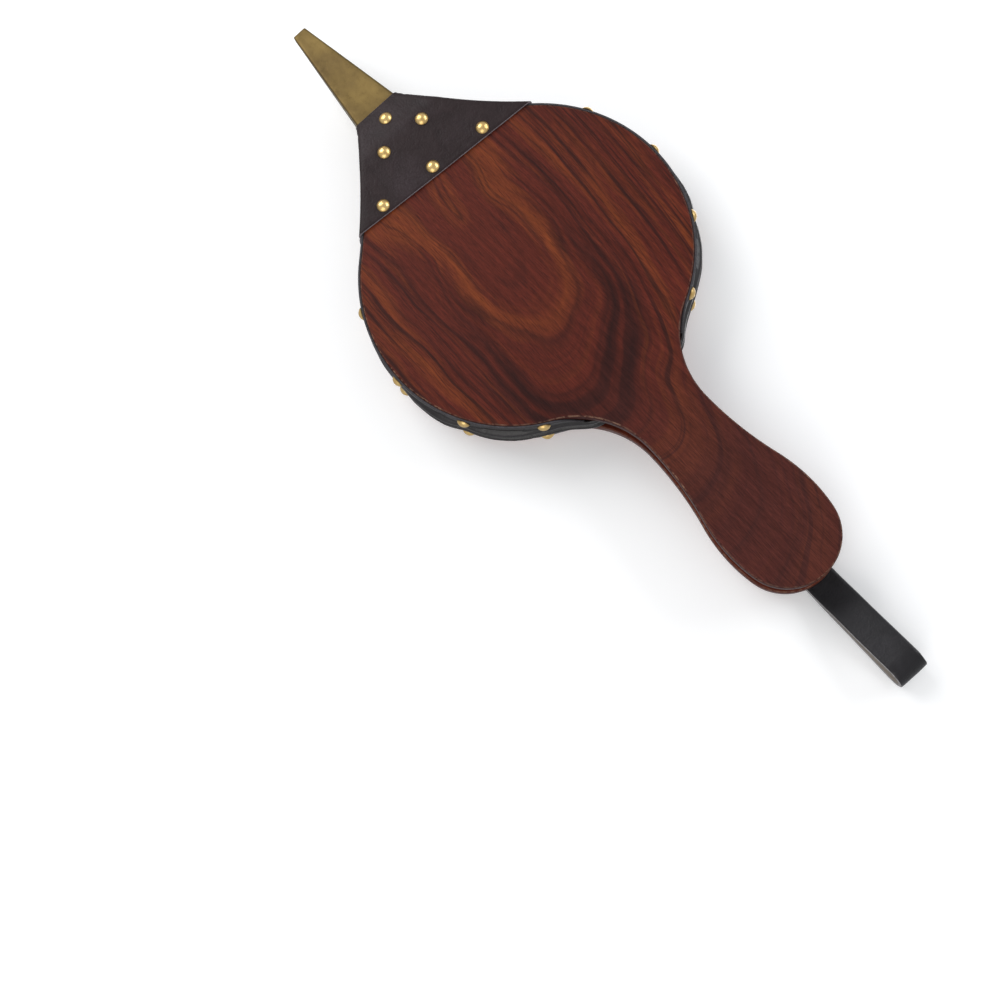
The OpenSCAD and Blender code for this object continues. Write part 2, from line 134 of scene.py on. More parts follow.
HALF = np.array(half_outline())
RUN = np.concatenate([[0], np.cumsum(np.hypot(*np.diff(HALF[:, :2], axis=0).T))])


def run_at(x):
    """Length along the half outline, from the nose, to the place with that x."""
    return float(np.interp(-x, -HALF[:, 0], RUN))


def edge_at(run):
    """(x, y, angle of the outward normal) at a length along the half outline."""
    return [float(np.interp(run, RUN, HALF[:, k])) for k in range(3)]


def half_width(x, away=0.0):
    """Half the width at a station of the outline, grown outwards by away."""
    if x >= NOSE_X:
        return NOSE_W/2 + away
    xs = HALF[:, 0] + away*np.cos(HALF[:, 2])
    ys = HALF[:, 1] + away*np.sin(HALF[:, 2])
    return float(np.interp(-x, -xs, ys))


def smooth(t):
    t = min(1.0, max(0.0, t))
    return t*t*(3 - 2*t)


def between(a, b, t):
    return a + (b - a)*t


def wobble(x, y, z=0.0, seed=0.0):
    """Soft noise from about -1 to 1."""
    return noise.noise(Vector((x + 17.3*seed, y - 9.1*seed, z + 4.7*seed)))*1.6


# ---- Mesh helpers ----
def add(obj):
    bpy.context.scene.collection.objects.link(obj)
    return obj


def make(name, points, faces, materials, face_slots=None, flat=(), wear_and_shade=None, side=None,
         sharp_deg=None):
    """A mesh object from points in millimetres. face_slots gives each face's material."""
    mesh = bpy.data.meshes.new(name)
    mesh.from_pydata([tuple(c*MM for c in p) for p in points], [], faces)
    for m in materials:
        mesh.materials.append(m)
    for i, polygon in enumerate(mesh.polygons):
        polygon.use_smooth = i not in flat
        if face_slots is not None:
            polygon.material_index = face_slots[i]
    for label, values in (("wear_and_shade", wear_and_shade), ("side", side)):
        if values is not None:
            mesh.attributes.new(label, "FLOAT", "POINT").data.foreach_set("value", values)
    if sharp_deg is not None:
        mesh.set_sharp_from_angle(angle=radians(sharp_deg))
    mesh.validate()
    return add(bpy.data.objects.new(name, mesh))


@contextmanager
def edited(obj):
    work = bmesh.new()
    work.from_mesh(obj.data)
    yield work
    work.to_mesh(obj.data)
    work.free()


def outward(obj):
    """Turns the faces outwards."""
    with edited(obj) as work:
        bmesh.ops.recalc_face_normals(work, faces=work.faces)
    return obj


def grid_cells(grid, used, closed):
    """The cells of a grid of points, rows by columns, each as the places of its four corners.
    used(i, j) says whether the cell between rows i, i+1 and columns j, j+1 is there."""
    rows, cols = grid.shape[:2]
    cells = []
    for i in range(rows - 1):
        for j in range(cols if closed else cols - 1):
            if used is None or used(i, j):
                k = (j + 1) % cols
                cells.append([(i, j), (i + 1, j), (i + 1, k), (i, k)])
    return cells


def shell(name, grid, used, closed, thickness, materials, ease=0.18):
    """A sheet with thickness from a grid of mid-surface points. materials are those of the
    face on the normal's side, the other face and the cut edges."""
    grid = np.asarray(grid, float)
    cells = grid_cells(grid, used, closed)
    normal = np.zeros_like(grid)
    edges = []
    for corners in cells:
        a, b, c, d = (grid[q] for q in corners)
        n = np.cross(c - a, d - b)
        for q in corners:
            normal[q] += n
        edges += zip(corners, corners[1:] + corners[:1])
    length = np.linalg.norm(normal, axis=2, keepdims=True)
    normal /= np.where(length > 0, length, 1)
    present = set(edges)
    rim_edges = [(p, q) for p, q in edges if (q, p) not in present]
    rim_points = {p for e in rim_edges for p in e}
    index, points = {}, []

    half = thickness/2

    def point(q, side):
        """A vertex of the sheet's face on one side, 1 or -1."""
        if (q, side) not in index:
            index[(q, side)] = len(points)
            points.append(grid[q] + normal[q]*side*half)
        return index[(q, side)]

    faces, slots = [], []
    for corners in cells:
        faces.append([point(q, 1) for q in corners])
        faces.append([point(q, -1) for q in reversed(corners)])
        slots += [0, 1]
    # The cut edge: a band that stands out a little between two eased arrises
    out = {}
    for p, q in rim_edges:
        along = grid[q] - grid[p]
        for r in (p, q):
            away = np.cross(along, normal[r])
            out[r] = out.get(r, 0) + away/max(np.linalg.norm(away), 1e-9)
    band = {}
    for r in rim_points:
        away = out[r]/max(np.linalg.norm(out[r]), 1e-9)
        for side in (1, -1):
            band[(r, side)] = len(points)
            points.append(grid[r] + normal[r]*side*(half - ease) + away*ease)
    for p, q in rim_edges:
        faces.append([point(q, 1), point(p, 1), band[(p, 1)], band[(q, 1)]])
        faces.append([band[(q, 1)], band[(p, 1)], band[(p, -1)], band[(q, -1)]])
        faces.append([band[(q, -1)], band[(p, -1)], point(p, -1), point(q, -1)])
        slots += [2, 2, 2]
    return outward(make(name, points, faces, materials, slots, sharp_deg=60))


def sheet_area(grid, used, closed):
    total = 0.0
    for corners in grid_cells(grid, used, closed):
        a, b, c, d = (grid[q] for q in corners)
        total += np.linalg.norm(np.cross(c - a, d - b))/2
    return total


def placed(x_axis, y_axis, z_axis, at):
    """The matrix that puts a thing at a place, turned to three axes."""
    columns = [(*x_axis, 0), (*y_axis, 0), (*z_axis, 0), (*at, 1)]
    return Matrix(columns).transposed()


def lathe(profile, segments, place, ripple=0.0, seed=0):
    """Points and faces of a turned shape: profile is (radius, height) from its top centre down
    to its bottom centre, and place is the matrix that puts it where it belongs."""
    points, faces = [], []
    for r, h in profile:
        for k in range(segments if r > 0 else 1):
            a = 2*pi*k/segments
            x, y = r*cos(a), r*sin(a)
            bump = ripple*wobble(x*0.9, y*0.9, h*0.9, seed) if h > 0.3 else 0.0
            points.append(place @ Vector((x, y, h + bump)))
    start = 0
    for (r0, _), (r1, _) in zip(profile, profile[1:]):
        n0, n1 = (segments if r0 > 0 else 1), (segments if r1 > 0 else 1)
        nxt = start + n0
        for k in range(segments):
            m = (k + 1) % segments
            if n0 == 1:
                faces.append([start, nxt + k, nxt + m])
            elif n1 == 1:
                faces.append([start + k, nxt, start + m])
            else:
                faces.append([start + k, nxt + k, nxt + m, start + m])
        start = nxt
    return points, faces


# ---- Materials ----
class Nodes:
    """A material being built: every method adds a node and gives back its output socket."""

    def __init__(self, name):
        self.material = bpy.data.materials.new(name)
        self.material.use_nodes = True
        self.tree = self.material.node_tree
        self.tree.nodes.clear()
        self.output = self.tree.nodes.new("ShaderNodeOutputMaterial")

    def node(self, kind, inputs=(), **settings):
        """A node with its settings, and its inputs linked or set. A plain colour has three parts."""
        n = self.tree.nodes.new("ShaderNode" + kind)
        for key, value in settings.items():
            setattr(n, key, value)
        for key, value in dict(inputs).items():
            socket = n.inputs[key]
            if isinstance(value, bpy.types.NodeSocket):
                self.tree.links.new(value, socket)
            else:
                socket.default_value = (*value, 1) if socket.type == "RGBA" else value
        return n

    def place(self, scale=(1, 1, 1), turn=0.0, shift=(0, 0, 0)):
        """The object's own coordinates, turned about Z and scaled."""
        coords = self.node("TexCoord").outputs["Object"]
        return self.node("Mapping", {"Vector": coords, "Scale": scale, "Location": shift,
                                     "Rotation": (0, 0, radians(turn))}).outputs[0]

    def vector(self, x, y, z):
        return self.node("CombineXYZ", {0: x, 1: y, 2: z}).outputs[0]

    def noise(self, where, scale=1.0, detail=3.0, rough=0.5, distort=0.0):
        return self.node("TexNoise", {"Vector": where, "Scale": scale, "Detail": detail,
                                      "Roughness": rough, "Distortion": distort}).outputs[0]

    def maths(self, operation, a, b=0.0, clamp=False):
        return self.node("Math", {0: a, 1: b}, operation=operation, use_clamp=clamp).outputs[0]

    def plus(self, a, b):
        return self.maths("ADD", a, b)

    def minus(self, a, b):
        return self.maths("SUBTRACT", a, b)

    def times(self, a, b, clamp=False):
        return self.maths("MULTIPLY", a, b, clamp)

    def share(self, a, part_a, b, part_b):
        """Two values added up, each by its part."""
        return self.plus(self.times(a, part_a), self.times(b, part_b))

    def remap(self, value, low, high, to_low=0.0, to_high=1.0):
        return self.node("MapRange", {"Value": value, "From Min": low, "From Max": high,
                                      "To Min": to_low, "To Max": to_high}).outputs[0]

    def ramp(self, value, stops):
        n = self.node("ValToRGB", {"Fac": value})
        n.color_ramp.elements.remove(n.color_ramp.elements[1])
        n.color_ramp.elements[0].position = stops[0][0]
        n.color_ramp.elements[0].color = (*stops[0][1], 1)
        for position, colour in stops[1:]:
            n.color_ramp.elements.new(position).color = (*colour, 1)
        return n.outputs["Color"]

    def mix(self, share, a, b, blend="MIX"):
        return self.node("Mix", {"Factor": share, 6: a, 7: b}, data_type="RGBA",
                         blend_type=blend).outputs[2]

    def attribute(self, name):
        return self.node("Attribute", attribute_name=name).outputs["Fac"]

    def bump(self, height, strength, distance, below=None):
        inputs = {"Height": height, "Strength": strength, "Distance": distance}
        if below is not None:
            inputs["Normal"] = below
        return self.node("Bump", inputs).outputs[0]

    def finish(self, colour, roughness, normal, **sockets):
        inputs = {"Base Color": colour, "Roughness": roughness, "Normal": normal}
        inputs.update({k.replace("_", " "): v for k, v in sockets.items()})
        shader = self.node("BsdfPrincipled", inputs)
        self.tree.links.new(shader.outputs[0], self.output.inputs["Surface"])
        return self.material


def srgb(code):
    """Linear colour of a six-digit hex code."""
    parts = [int(code[i:i + 2], 16)/255 for i in (0, 2, 4)]
    return tuple(c/12.92 if c <= 0.04045 else ((c + 0.055)/1.055)**2.4 for c in parts)


def tones(*codes):
    return [srgb(code) for code in codes]


def wood(name, dark, middle, warm, handle, seed, turn, crown, gloss=0.42, worn=True):
    """Crown-cut veneer: arches that open towards the nose, ribbon stripes along both flanks,
    fine streaks, short open pores, and pale worn wood where the wear attribute is high."""
    g = Nodes(name)
    base = g.place((1, 1, 1), turn, (seed*3.1, seed*1.7, seed))
    x, y, z = g.node("SeparateXYZ", {"Vector": g.place(turn=turn)}).outputs
    drift = g.noise(g.place((7.0, 9.0, 7.0), turn, (seed, 2*seed, 0)), 1.0, 2.0, 0.5)
    sway = g.noise(g.place((16.0, 26.0, 16.0), turn, (seed, 3*seed, 1)), 1.0, 2.0, 0.5)
    # The arches: straight ahead of the crown, closing behind it
    closing = 0.34
    behind = g.times(g.maths("MINIMUM", g.minus(x, crown[0]), 0.0), closing)
    offset = g.minus(y, crown[1])
    loose = g.remap(g.maths("ABSOLUTE", offset), 0.030, 0.070, 1.0, 0.22)
    warp = g.share(g.minus(drift, 0.5), 0.070, g.minus(sway, 0.5), 0.018)
    across = g.plus(offset, g.times(warp, loose))
    ring = g.maths("SQRT", g.share(behind, behind, across, across))
    flank = g.remap(ring, 0.026, 0.058)

    def along_rings(per_x, per_ring, shift, detail, rough):
        at = g.vector(g.times(x, per_x), g.plus(g.times(ring, per_ring), shift), g.times(z, 5.0))
        return g.noise(at, 1.0, detail, rough)

    figure = along_rings(5.0, 42.0, seed*5.0, 4.0, 0.62)
    line = g.maths("ABSOLUTE", g.minus(along_rings(2.5, 62.0, seed*9.0, 2.0, 0.5), 0.5))
    ribbon = along_rings(6.0, 330.0, seed*2.0, 3.0, 0.62)
    streak = g.noise(g.place((13, 420, 90), turn, (seed, 0, 0)), 1.0, 4.0, 0.62)
    fibre = g.noise(g.place((210, 2300, 600), turn, (0, seed, 0)), 1.0, 3.0, 0.6)
    pores = g.noise(g.place((150, 2600, 500), turn, (0, seed, 3)), 1.0, 1.0, 0.4)
    colour = g.ramp(figure, [(0.28, dark), (0.41, middle), (0.52, middle), (0.70, warm)])

    def shaded(colour, value, low, high):
        shade = g.remap(value, 0.30, 0.70, low, high)
        return g.mix(1.0, colour, g.vector(shade, shade, shade), "MULTIPLY")

    # Dark lines between the rings, bold and pale ribbons on the flanks, a calm handle
    line = g.minus(1.0, g.remap(line, 0.0, 0.026))
    colour = g.mix(g.times(line, 0.50, clamp=True), colour, dark)
    bold = g.times(g.remap(ribbon, 0.50, 0.38), flank, clamp=True)
    colour = g.mix(g.times(bold, 0.80), colour, dark)
    pale = g.times(g.remap(ribbon, 0.56, 0.70), flank, clamp=True)
    colour = g.mix(g.times(pale, 0.26), colour, warm)
    calm = g.remap(x, -0.070, -0.150)
    colour = g.mix(g.times(calm, 0.72, clamp=True), colour, handle)
    colour = shaded(colour, streak, 0.76, 1.24)
    colour = shaded(colour, fibre, 0.72, 1.28)
    # The sides are darker, partly their own duller stain and partly painted shade from the gap between
    # the boards; the pores are dark
    colour = g.mix(g.times(g.attribute("side"), 0.62), colour, tuple(c*0.8 for c in handle))
    pit = g.remap(pores, 0.60, 0.70)
    colour = g.mix(g.times(pit, 0.40), colour, tuple(c*0.5 for c in dark))
    if worn:
        scuff = g.noise(base, 420.0, 3.0, 0.65)
        bare = g.times(g.attribute("wear_and_shade"), g.remap(scuff, 0.40, 0.62), clamp=True)
        colour = g.mix(g.times(bare, 0.66), colour, srgb("93705c"))
    rough = g.remap(g.plus(streak, g.times(pit, 0.4)), 0.3, 1.1, gloss, gloss + 0.22)
    low = g.bump(streak, 0.16, 0.0004)
    normal = g.bump(g.minus(fibre, g.times(pit, 0.8)), 0.22, 0.0002, low)
    return g.finish(colour, rough, normal, Specular_IOR_Level=0.14)


def plain_wood(name, light, dark):
    """Bare softwood with growth rings, for the parts inside."""
    g = Nodes(name)
    where = g.place((9, 70, 70), 3)
    rings = g.node("TexWave", {"Vector": where, "Scale": 1.6, "Distortion": 5.0, "Detail": 2.0,
                               "Detail Scale": 0.8}, bands_direction="Y").outputs["Fac"]
    grain = g.noise(g.place((25, 600, 600)), 1.0, 3.0, 0.6)
    colour = g.ramp(g.share(rings, 0.7, grain, 0.3), [(0.15, dark), (0.8, light)])
    return g.finish(colour, g.remap(grain, 0.3, 0.7, 0.6, 0.78), g.bump(grain, 0.35, 0.0004))


def leather(name, colour, light, gloss, cell=1050.0, relief=0.30, crease=0.5, shine=0.28):
    """Smooth-side leather: pebbled grain, soft creases, and lighter rubbed places."""
    g = Nodes(name)
    where = g.place()
    stray = g.node("TexNoise", {"Vector": where, "Scale": 240.0}).outputs["Color"]
    stray = g.node("VectorMath", {0: stray, 1: (0.0012,)*3}, operation="MULTIPLY").outputs[0]
    bent = g.node("VectorMath", {0: where, 1: stray}).outputs[0]
    pebble = g.node("TexVoronoi", {"Vector": bent, "Scale": cell},
                    feature="SMOOTH_F1").outputs["Distance"]
    folds = g.noise(where, 120.0, 5.0, 0.62, 0.6)
    cloud = g.noise(where, 26.0, 4.0, 0.6)
    rubbed = g.times(g.remap(cloud, 0.50, 0.72), g.remap(pebble, 0.9, 0.2), clamp=True)
    shade = g.mix(g.remap(folds, 0.25, 0.75), tuple(c*0.72 for c in colour),
                  tuple(min(1, c*1.22) for c in colour))
    shade = g.mix(g.times(rubbed, 0.55), shade, light)
    rough = g.remap(g.share(folds, 0.6, pebble, 0.4), 0.2, 0.8, gloss - 0.07, gloss + 0.16)
    low = g.bump(folds, crease, 0.0009)
    normal = g.bump(pebble, relief, 0.0004, low)
    return g.finish(shade, rough, normal, Specular_IOR_Level=shine)


def suede(name, colour, light):
    """Flesh side of leather: matt, fuzzy, mottled."""
    g = Nodes(name)
    where = g.place()
    nap = g.noise(where, 1500.0, 4.0, 0.75)
    cloud = g.noise(where, 75.0, 4.0, 0.65)
    shade = g.mix(g.share(nap, 0.55, cloud, 0.5), colour, light)
    return g.finish(shade, g.remap(nap, 0.3, 0.7, 0.82, 0.97), g.bump(nap, 0.7, 0.0006),
                    Sheen_Weight=0.35, Sheen_Roughness=0.5)


def cut_edge(name, colour, light):
    """Raw cut edge of leather: pale fibres in layers."""
    g = Nodes(name)
    fibre = g.noise(g.place((700, 700, 1900)), 1.0, 4.0, 0.7)
    shade = g.mix(g.remap(fibre, 0.3, 0.7), colour, light)
    return g.finish(shade, g.remap(fibre, 0.3, 0.7, 0.7, 0.9), g.bump(fibre, 0.6, 0.0004))


def brass(name, bright, tarnish, rough):
    """Polished brass with thin tarnish and hairline scratches, darkened where the mesh's attribute marks
    it: grime and painted contact shade at the studs' rims.
    """
    g = Nodes(name)
    where = g.place()
    cloud = g.noise(where, 310.0, 4.0, 0.6)
    hair = g.noise(g.place((240, 3000, 1400), 31), 1.0, 2.0, 0.5)
    # Darkening at the studs' rims: partly grime, partly painted contact shade where the head meets the
    # leather
    shade_and_grime = g.times(g.attribute("wear_and_shade"), g.remap(cloud, 0.25, 0.6, 0.55, 1.0), clamp=True)
    shade = g.mix(g.remap(cloud, 0.45, 0.85), bright, tarnish)
    shade = g.mix(shade_and_grime, shade, (0.055, 0.033, 0.014))
    gloss = g.remap(g.share(cloud, 0.7, hair, 0.3), 0.3, 0.7, rough, rough + 0.16)
    gloss = g.maths("ADD", gloss, g.times(shade_and_grime, 0.4), clamp=True)
    relief = g.plus(cloud, g.times(hair, 0.5))
    return g.finish(shade, gloss, g.bump(relief, 0.18, 0.0004), Metallic=1.0)


def dull_gold(name, colour, deep, light):
    """The nozzle's sheet metal: dull gold with drawn lines, stains and small scratches."""
    g = Nodes(name)
    where = g.place()
    cloud = g.noise(where, 42.0, 5.0, 0.6)
    spots = g.noise(where, 260.0, 4.0, 0.65)
    drawn = g.noise(g.place((45, 1300, 1300)), 1.0, 3.0, 0.55)
    shade = g.mix(g.remap(cloud, 0.35, 0.75), colour, light)
    shade = g.mix(g.times(g.remap(spots, 0.54, 0.74), 0.22), shade, deep)
    shade = g.mix(g.times(g.remap(drawn, 0.35, 0.70), 0.14), shade, light)
    shade = g.mix(g.times(g.attribute("wear_and_shade"), 0.75, clamp=True), shade, deep)
    rough = g.remap(g.share(spots, 0.5, drawn, 0.5), 0.3, 0.7, 0.40, 0.58)
    low = g.bump(drawn, 0.10, 0.0003)
    return g.finish(shade, rough, g.bump(cloud, 0.10, 0.0012, low), Metallic=0.72)


def steel(name):
    g = Nodes(name)
    where = g.place()
    cloud = g.noise(where, 500.0, 5.0, 0.65)
    shade = g.ramp(cloud, [(0.35, (0.33, 0.32, 0.31)), (0.6, (0.20, 0.17, 0.15)),
                           (0.75, (0.16, 0.08, 0.045))])
    return g.finish(shade, g.remap(cloud, 0.3, 0.7, 0.32, 0.7), g.bump(cloud, 0.3, 0.0003),
                    Metallic=0.9)


FRONT_TONES = tones("2a110f", "542016", "783a19", "46231f")
BACK_TONES = tones("3a1610", "6b2b18", "90481f", "55261a")
front_wood = wood("front_veneer", *FRONT_TONES, 1.3, 3.0, (0.055, 0.014))
back_wood = wood("back_veneer", *BACK_TONES, 4.1, -3.0, (0.085, -0.022), gloss=0.36)
nose_wood = wood("nose_veneer", *FRONT_TONES, 1.3, 3.0, (0.055, 0.014), worn=False)
block_wood = plain_wood("block_wood", *tones("b58c5c", "8b6238"))
collar_face = leather("collar_leather", *tones("2b2122", "40363a"), 0.42, shine=0.16)
gusset_face = leather("gusset_leather", *tones("1e191a", "393335"), 0.31, 900.0, 0.25, shine=0.5)
strap_face = leather("strap_leather", *tones("19171a", "343136"), 0.36, 1300.0, 0.22, 0.3, 0.4)
dark_suede = suede("dark_suede", *tones("2b2322", "4a3d39"))
grey_suede = suede("grey_suede", *tones("6a6058", "9a9288"))
flap_suede = suede("flap_suede", *tones("120e0c", "241c18"))
dark_edge = cut_edge("dark_edge", *tones("4b4146", "8b8286"))
black_edge = cut_edge("black_edge", *tones("242124", "4a464a"))
grey_edge = cut_edge("grey_edge", *tones("6f6c6e", "a9a6a6"))
stud_brass = brass("stud_brass", *tones("f3d08c", "d2a45a"), 0.24)
pin_brass = brass("pin_brass", *tones("c9a052", "8c6a32"), 0.3)
nozzle_gold = dull_gold("nozzle_metal", *tones("a1864a", "6f582c", "b09455"))
nozzle_inside = dull_gold("nozzle_inside", *tones("5e4c2a", "33270f", "7b6638"))
nail_steel = steel("nail_steel")


# ---- Boards ----
SOFTENING = 0.10      # how far handling has worn the arrises back
HOLE_PARTS = 72


def eased(z0, z1, low_ease, high_ease, steps=5):
    """Profile of an edge with both arrises rounded: (inset, z, share of the arris, side)."""
    angles = [pi/2*k/steps for k in range(steps + 1)]

    def arris(z, ease, side):
        return [(ease*(1 - sin(a)), z - side*ease*(1 - cos(a)), sin(2*a), side) for a in angles]

    return arris(z0, low_ease, -1) + arris(z1, high_ease, 1)[::-1]


def rounded_plate(name, loop, z0, z1, ease, materials, chips=(), hole=None, seed=0):
    """A closed plate with eased edges. loop is (x, y, angle of the normal) all round, and its
    first and last points are mirror images. chips are (place in the loop, half length, depth,
    which arris). hole is its radius and how far its outer and inner rims are eased."""
    count = len(loop)
    profile = eased(z0, z1, ease, ease)
    points, wear_and_shade, sides, faces, flat = [], [], [], [], set()
    for inset, z, arris, side in profile:
        for i, (x, y, a) in enumerate(loop):
            soft = SOFTENING*arris*(1 + wobble(x*0.05, y*0.05, side*3.0, seed))
            worn = arris*(0.55 + 0.5*wobble(x*0.02, y*0.02, side*2.0, seed + 3))
            for at, reach, depth, which in chips:
                if which == side and arris > 0:
                    near = exp(-((i - at)/reach)**2)
                    soft += depth*near*arris
                    worn += 1.6*near*arris
            back = inset + soft
            points.append((x - back*cos(a), y - back*sin(a), z - side*soft*0.55))
            wear_and_shade.append(max(0.0, worn))
            # The side mark is 1 on the edge faces, which the wood darkens: partly duller stain, partly
            # painted shade of the gap between the boards
            sides.append(1.0 - inset/ease)
    rings = len(profile)
    for j in range(rings - 1):
        for i in range(count):
            k = (i + 1) % count
            faces.append([j*count + i, j*count + k, (j + 1)*count + k, (j + 1)*count + i])
    if hole is None:
        flat.update((len(faces), len(faces) + 1))
        faces.append(list(range(count))[::-1])
        faces.append([(rings - 1)*count + i for i in range(count)])
    else:
        radius, outer_rim, inner_rim = hole
        parts = HOLE_PARTS
        base = len(points)
        bore = eased(z0, z1, outer_rim, inner_rim)
        for outset, z, arris, side in bore:
            for k in range(parts):
                a = 2*pi*k/parts
                r = radius + outset
                points.append((r*cos(a), r*sin(a), z))
                wear_and_shade.append(3.0*arris if side < 0 else 0.0)
                # The bore's wall is marked too and darkened a little: painted shade in the hole
                sides.append(0.3)
        for j in range(len(bore) - 1):
            for k in range(parts):
                m = (k + 1) % parts
                faces.append([base + j*parts + m, base + j*parts + k,
                              base + (j + 1)*parts + k, base + (j + 1)*parts + m])
        # Each flat side in two halves that meet on the centre line, ahead of and behind the hole
        middle = count//2
        top_rim = base + (len(bore) - 1)*parts
        for ring, start, turned in ((0, base, True), (rings - 1, top_rim, False)):
            nose = len(points)
            a, b = points[ring*count], points[ring*count + count - 1]
            points.append(((a[0] + b[0])/2, 0.0, a[2]))
            wear_and_shade.append(0.0)
            sides.append(0.0)
            outer = [ring*count + i for i in range(count)]
            inner = [start + k for k in range(parts)]
            upper = [nose] + outer[:middle + 1] + inner[parts//2::-1]
            lower = outer[middle:] + [nose] + [inner[0]] + inner[:parts//2 - 1:-1]
            for face in (upper, lower):
                flat.add(len(faces))
                faces.append(face[::-1] if turned else face)
            # The nose's own end face takes the new point in
            for f in faces[:(rings - 1)*count]:
                if outer[0] in f and outer[-1] in f:
                    at = f.index(outer[-1]), f.index(outer[0])
                    f.insert(max(at) if abs(at[0] - at[1]) == 1 else len(f), nose)
    return outward(make(name, points, faces, materials, flat=flat, wear_and_shade=wear_and_shade, side=sides))


def board_loop():
    ring = [tuple(p) for p in HALF]
    return ring + [(x, -y, -a) for x, y, a in ring[-2::-1]]


def chips_for(seed, count, side, size):
    """Small knocks along one arris of a board, clear of the collar."""
    pick = random.Random(seed)
    loop = board_loop()
    found = []
    while len(found) < count:
        at = pick.randrange(len(loop))
        if loop[at][0] < COLLAR_FRONT_X - 9:
            found.append((at, pick.uniform(0.9, 2.6), pick.uniform(0.25, 1.0)*size, side))
    return found


def split(work, x, clear):
    """Cuts a mesh across at x, clearing what is ahead if asked, and gives the cut's edges."""
    everything = work.verts[:] + work.edges[:] + work.faces[:]
    found = bmesh.ops.bisect_plane(work, geom=everything, plane_co=(x*MM, 0, 0),
                                   plane_no=(1, 0, 0), clear_outer=clear)
    return [e for e in found["geom_cut"] if isinstance(e, bmesh.types.BMEdge)]


def slope_nose(obj, outer_z, inner_z):
    """Cuts the plate where its outer face starts to drop to the nose, and lets it drop."""
    with edited(obj) as work:
        split(work, DROP_X, False)
        for v in work.verts:
            x, z = v.co.x/MM, v.co.z/MM
            if x > DROP_X:
                drop = (x - DROP_X)*DROP_SLOPE*(z - inner_z)/(outer_z - inner_z)
                v.co.z = (z + copysign(drop, inner_z - outer_z))*MM


def cut_front(obj, x):
    """Takes off everything ahead of x and closes the cut."""
    with edited(obj) as work:
        made = bmesh.ops.contextual_create(work, geom=split(work, x, True))
        for f in made["faces"]:
            f.smooth = False
        bmesh.ops.recalc_face_normals(work, faces=work.faces)


BOARD_EASE = 0.9
front = rounded_plate("front_board_wood", board_loop(), FRONT_Z, STACK, BOARD_EASE, [front_wood],
                      chips_for(5, 14, 1, 0.5), seed=1)
cut_front(front, CUT_X)
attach(front, "front")
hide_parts("front_board")

back = rounded_plate("back_board_wood", board_loop(), 0.0, BOARD_T, BOARD_EASE, [back_wood],
                     chips_for(11, 26, -1, 0.65), hole=(INTAKE_R, 1.5, 0.4), seed=2)
slope_nose(back, 0.0, BOARD_T)
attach(back, "base")
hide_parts("back_board")

# These CAD nodes keep their shape and take a material
for node, material in (("nose_board", nose_wood), ("head_block", block_wood),
                       ("block_nails", nail_steel), ("nozzle_pins", pin_brass),
                       ("valve_tacks", pin_brass)):
    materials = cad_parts[node].data.materials
    materials.clear()
    materials.append(material)


# ---- Nozzle: one folded sheet whose edges meet on the back ----
NOZZLE_STATIONS = 44


def along_nozzle(x):
    """Share of the way to the tip, and half the width and height of the nozzle's outside."""
    t = (x - NOZZLE_X)/(TIP_X - NOZZLE_X)
    return t, between(ROOT_W, TIP_W, t)/2, between(ROOT_H, TIP_H, t)/2


def nozzle_section(x):
    """Mid-surface points round the section, from one side of the seam to the other."""
    t, w, h = along_nozzle(x)
    w -= SHEET_T/2
    h -= SHEET_T/2
    bend_r = between(1.25, 0.80, t)
    half_gap = between(0.24, 0.16, t)
    lift = between(0.22, 0.0, t)
    seam = between(SEAM_Y, 0.4*SEAM_Y, t)
    right, left = seam + half_gap, seam - half_gap
    path = [(right, -h + 0.9*lift), (right + 0.5, -h + 0.35*lift), (right + 1.3, -h)]

    def line(end, parts):
        y, z = path[-1]
        for k in range(1, parts + 1):
            path.append((between(y, end[0], k/parts), between(z, end[1], k/parts)))

    def bend(side, top, start, parts=5):
        """The fold at a corner, counter-clockwise from an angle."""
        for k in range(1, parts + 1):
            a = start + pi/2*k/parts
            path.append((side*(w - bend_r) + bend_r*cos(a),
                         top*(h - bend_r) + bend_r*sin(a)))

    line((w - bend_r, -h), 5)
    bend(1, -1, -pi/2)
    line((w, h - bend_r), 4)
    bend(1, 1, 0)
    line((-w + bend_r, h), 10)
    bend(-1, 1, pi/2)
    line((-w, -h + bend_r), 4)
    bend(-1, -1, pi)
    line((left - 1.3, -h), 5)
    path += [(left - 0.5, -h + 0.1*lift), (left, -h + 0.25*lift)]
    # The flats are a little hollow, and dented
    broad_sag, narrow_sag = between(0.33, 0.05, t), 0.10
    points = []
    for y, z in path:
        sag = broad_sag*max(0.0, 1 - (y/w)**2) if abs(z) > h - 0.3 else 0.0
        side = narrow_sag*max(0.0, 1 - (z/h)**2) if abs(y) > w - 0.2 else 0.0
        dent = 0.05*wobble(x*0.06, y*0.12, z*0.12, 7)
        points.append((x, y - copysign(side, y), MID_Z + z - copysign(sag, z) + dent))
    return points


stations = [between(NOZZLE_X, TIP_X, k/NOZZLE_STATIONS) for k in range(NOZZLE_STATIONS + 1)]
nozzle = shell("nozzle_sheet", [nozzle_section(x) for x in stations], None, False, SHEET_T,
               [nozzle_gold, nozzle_inside, nozzle_gold], ease=0.14)
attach(nozzle, "base")
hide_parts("nozzle")


# ---- Collar ----
ON_FACE, ON_SIDE, LIP_OFF = 0.75, 2.1, 0.85      # the mid-surface off the boards and the nozzle
COLLAR_BEND_R = 2.5
SKIRT_LOW_Z, SKIRT_HIGH_Z, SKIRT_RUN = 3.0, 15.5, 17.0
SKIRT_FLARE = 1.5
LIP_STEP, COLLAR_STEP, SKIRT_ROWS = 1.0, 2.0, 14
BACK_COLUMNS = 8      # the columns on each side of the ring that lie on the back board


